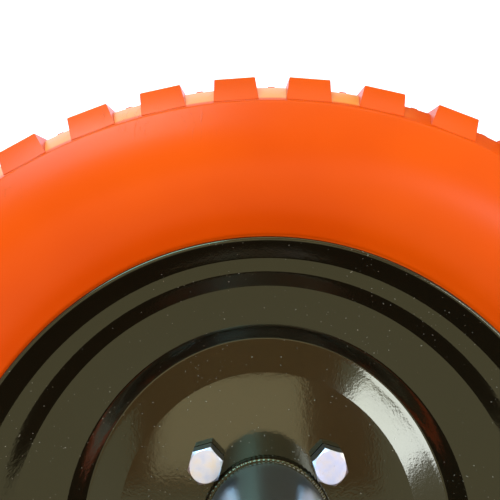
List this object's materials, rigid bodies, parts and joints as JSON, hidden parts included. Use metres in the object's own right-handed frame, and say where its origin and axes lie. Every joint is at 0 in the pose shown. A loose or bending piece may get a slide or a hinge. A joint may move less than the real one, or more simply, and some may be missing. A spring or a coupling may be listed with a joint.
{
  "type": "wheelbarrow wheel",
  "caption": "Wheelbarrow wheel: solid orange foam tyre with a lugged tread on a black stepped two-part steel rim with a ball-bearing hub.",
  "frame": {"origin": "centre of the wheel, on its axis and in the mid-plane where the rim halves meet", "axes": "+Z along the wheel's axis towards the pictured side, +X to the picture's right, +Y up the picture; the wheel lies flat"},
  "size_m": [0.35, 0.35, 0.0936],
  "materials": {
    "polyurethane_foam": "smooth satin moulded skin",
    "black_paint": "gloss paint with slight orange peel",
    "zinc_plate": "bright zinc plate",
    "spring_steel": "dark phosphate",
    "drawn_tube": "drawn steel tube",
    "bearing_steel": "ground bearing steel",
    "cage_nylon": "moulded nylon",
    "seal_rubber": "moulded rubber"
  },
  "bodies": {
    "wheel": {"tyre": "polyurethane_foam", "rim_half_front": "black_paint", "rim_half_rear": "black_paint", "bearing_housing_front": "zinc_plate", "bearing_housing_rear": "zinc_plate", "hub_flange_front": "zinc_plate", "hub_flange_rear": "zinc_plate", "rim_bolts": "zinc_plate", "rim_nuts": "zinc_plate", "flat_washers": "zinc_plate", "spring_washers": "spring_steel", "front_outer_ring": "bearing_steel", "front_seal_outer": "seal_rubber", "front_seal_inner": "seal_rubber", "rear_outer_ring": "bearing_steel", "rear_seal_outer": "seal_rubber", "rear_seal_inner": "seal_rubber"},
    "axle_core": {"front_inner_ring": "bearing_steel", "rear_inner_ring": "bearing_steel", "spacer_tube": "drawn_tube"},
    "front_cage_set": {"front_cage": "cage_nylon", "front_balls": "bearing_steel"},
    "rear_cage_set": {"rear_cage": "cage_nylon", "rear_balls": "bearing_steel"}
  },
  "joints": [
    {"name": "axle_spin", "type": "hinge", "parent": "wheel", "child": "axle_core", "pos_m": [0, 0, 0], "axis": [0, 0, 1], "continuous": true},
    {"name": "front_cage_spin", "type": "hinge", "parent": "wheel", "child": "front_cage_set", "pos_m": [0, 0, 0.0305], "axis": [0, 0, 1], "continuous": true},
    {"name": "rear_cage_spin", "type": "hinge", "parent": "wheel", "child": "rear_cage_set", "pos_m": [0, 0, -0.0305], "axis": [0, 0, 1], "continuous": true}
  ],
  "couplings": [
    {"joint": "front_cage_spin", "follows": "axle_spin", "ratio": 0.38149},
    {"joint": "rear_cage_spin", "follows": "axle_spin", "ratio": 0.38149}
  ]
}
